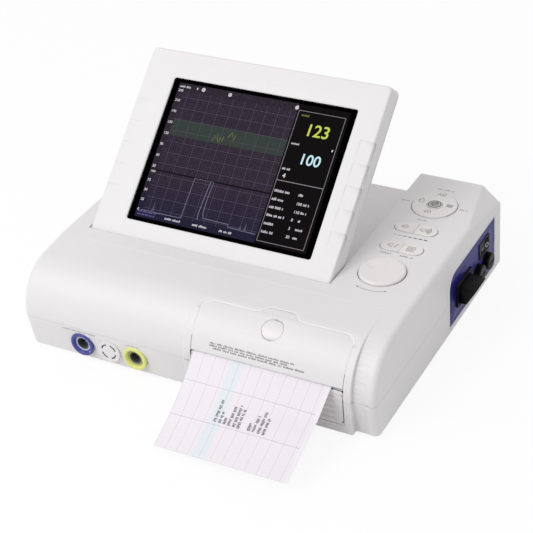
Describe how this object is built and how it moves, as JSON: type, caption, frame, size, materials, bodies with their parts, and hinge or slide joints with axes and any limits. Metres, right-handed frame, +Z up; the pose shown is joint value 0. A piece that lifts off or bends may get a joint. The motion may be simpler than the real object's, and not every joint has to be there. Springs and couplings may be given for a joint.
{
  "type": "fetal monitor",
  "caption": "Desktop heart-rate and contraction monitor with a fold-down screen, a thermal chart recorder in a paper drawer, a key strip and transducer sockets.",
  "frame": {"origin": "on the table, at the centre of the four stand screws in the underside, which is the middle of the case's width", "axes": "+X to the user's right, +Y to the back, +Z up"},
  "size_m": [0.3145, 0.313, 0.1741],
  "materials": {
    "case": "fine satin texture",
    "keys": "satin",
    "panel": "satin",
    "black": "satin",
    "inner": "plain",
    "blue": "gloss",
    "yellow": "gloss",
    "insert": "satin",
    "screen_glass": "gloss",
    "display": "gloss",
    "board": "lacquered",
    "chips": "plain",
    "rubber": "matte",
    "platen": "ground",
    "steel": "plain",
    "alloy": "plain",
    "iron": "varnished",
    "brass": "plain",
    "fuse_glass": "gloss",
    "paper": "smooth paper"
  },
  "bodies": {
    "base": {"upper_case": "case", "lower_case": "case", "side_panel": "panel", "rubber_feet": "rubber", "case_screws": "steel", "hinge_brackets": "steel", "drawer_rails": "inner", "stepper_motor": "alloy", "print_head": "black", "recorder_brackets": "steel", "encoder_body": "black", "key_board": "board", "key_domes": "rubber", "switch_housing": "black", "fuse_holders": "black", "mains_inlet": "black", "inlet_blades": "brass", "socket_blue": "blue", "socket_yellow": "yellow", "socket_inserts": "insert", "blank_plug": "case", "main_board": "board", "power_board": "board", "board_components": "chips", "transformer": "iron", "heat_sink": "alloy", "speaker": "black"},
    "screen_head": {"front_bezel": "case", "back_cover": "case", "display_glass": "screen_glass", "lcd_module": "display", "display_boards": "board", "head_screws": "steel", "hinge_bushes": "black"},
    "drawer": {"drawer_cover": "case", "drawer_tray": "case", "paper_pack": "paper", "paper_strip": "paper", "thumb_guide": "inner"},
    "thumb": {"thumb_button": "keys"},
    "platen": {"platen_shaft": "steel", "platen_rubber": "platen", "platen_gear": "inner"},
    "motor": {"motor_pinion": "brass"},
    "gimbal": {"nav_gimbal": "inner"},
    "nav": {"nav_pad": "keys"},
    "centre_key": {"nav_centre_key": "keys"},
    "volume_left": {"key_volume_left": "keys"},
    "volume_right": {"key_volume_right": "keys"},
    "event_left": {"key_event_left": "keys"},
    "event_right": {"key_event_right": "keys"},
    "encoder": {"encoder_rotor": "inner"},
    "knob": {"knob_cap": "keys", "knob_shaft": "steel"},
    "rocker": {"power_rocker": "black"},
    "rear_carrier": {"fuse_rear": "fuse_glass"},
    "front_carrier": {"fuse_front": "fuse_glass"},
    "rear_cap": {"fuse_cap_rear": "black"},
    "front_cap": {"fuse_cap_front": "black"},
    "mains_plug": {"inlet_plug": "black"}
  },
  "joints": [
    {"name": "screen_tilt", "type": "hinge", "parent": "base", "child": "screen_head", "pos_m": [0, -0.0417, 0.0628], "axis": [1, 0, 0], "range_deg": [-40.4, 15]},
    {"name": "drawer_slide", "type": "slide", "parent": "base", "child": "drawer", "axis": [0, -1, 0], "range_m": [0, 0.095]},
    {"name": "thumb_press", "type": "slide", "parent": "drawer", "child": "thumb", "axis": [0, 0.515, -0.8572], "range_m": [0, 0.0025], "stiffness_N_per_m": 400, "springref_m": -0.002},
    {"name": "platen_spin", "type": "hinge", "parent": "drawer", "child": "platen", "pos_m": [0, -0.1075, 0.0373], "axis": [1, 0, 0], "continuous": true},
    {"name": "motor_spin", "type": "hinge", "parent": "base", "child": "motor", "pos_m": [0, -0.0931, 0.0373], "axis": [1, 0, 0], "continuous": true},
    {"name": "pad_rock_sideways", "type": "hinge", "parent": "base", "child": "gimbal", "pos_m": [0.1112, 0.0791, 0.0692], "axis": [0, 1, 0], "range_deg": [-3, 3], "stiffness_Nm_per_rad": 0.05},
    {"name": "pad_rock_lengthways", "type": "hinge", "parent": "gimbal", "child": "nav", "pos_m": [0.1112, 0.0791, 0.0692], "axis": [1, 0, 0], "range_deg": [-3, 3], "stiffness_Nm_per_rad": 0.05},
    {"name": "centre_key_press", "type": "slide", "parent": "nav", "child": "centre_key", "axis": [0, 0, -1], "range_m": [0, 0.0012], "stiffness_N_per_m": 150, "springref_m": -0.001},
    {"name": "volume_left_press", "type": "slide", "parent": "base", "child": "volume_left", "axis": [0, 0, -1], "range_m": [0, 0.001], "stiffness_N_per_m": 250, "springref_m": -0.001},
    {"name": "volume_right_press", "type": "slide", "parent": "base", "child": "volume_right", "axis": [0, 0, -1], "range_m": [0, 0.001], "stiffness_N_per_m": 250, "springref_m": -0.001},
    {"name": "event_left_press", "type": "slide", "parent": "base", "child": "event_left", "axis": [0, 0, -1], "range_m": [0, 0.001], "stiffness_N_per_m": 250, "springref_m": -0.001},
    {"name": "event_right_press", "type": "slide", "parent": "base", "child": "event_right", "axis": [0, 0, -1], "range_m": [0, 0.001], "stiffness_N_per_m": 250, "springref_m": -0.001},
    {"name": "knob_turn", "type": "hinge", "parent": "base", "child": "encoder", "pos_m": [0.1111, -0.02, 0.062], "axis": [0, 0, 1], "continuous": true},
    {"name": "knob_press", "type": "slide", "parent": "encoder", "child": "knob", "axis": [0, 0, -1], "range_m": [0, 0.001], "stiffness_N_per_m": 600, "springref_m": -0.001},
    {"name": "power_switch", "type": "hinge", "parent": "base", "child": "rocker", "pos_m": [0.1473, 0.0852, 0.0402], "axis": [0, 0, 1], "range_deg": [0, 14]},
    {"name": "rear_fuse_pull", "type": "slide", "parent": "base", "child": "rear_carrier", "axis": [1, 0, 0], "range_m": [0, 0.03]},
    {"name": "front_fuse_pull", "type": "slide", "parent": "base", "child": "front_carrier", "axis": [1, 0, 0], "range_m": [0, 0.03]},
    {"name": "rear_cap_turn", "type": "hinge", "parent": "rear_carrier", "child": "rear_cap", "pos_m": [0.1497, 0.0895, 0.0245], "axis": [1, 0, 0], "range_deg": [0, 90]},
    {"name": "front_cap_turn", "type": "hinge", "parent": "front_carrier", "child": "front_cap", "pos_m": [0.1497, 0.071, 0.0245], "axis": [1, 0, 0], "range_deg": [0, 90]},
    {"name": "plug_pull", "type": "slide", "parent": "base", "child": "mains_plug", "axis": [1, 0, 0], "range_m": [0, 0.018]}
  ],
  "couplings": [
    {"joint": "motor_spin", "follows": "platen_spin", "ratio": -2}
  ]
}
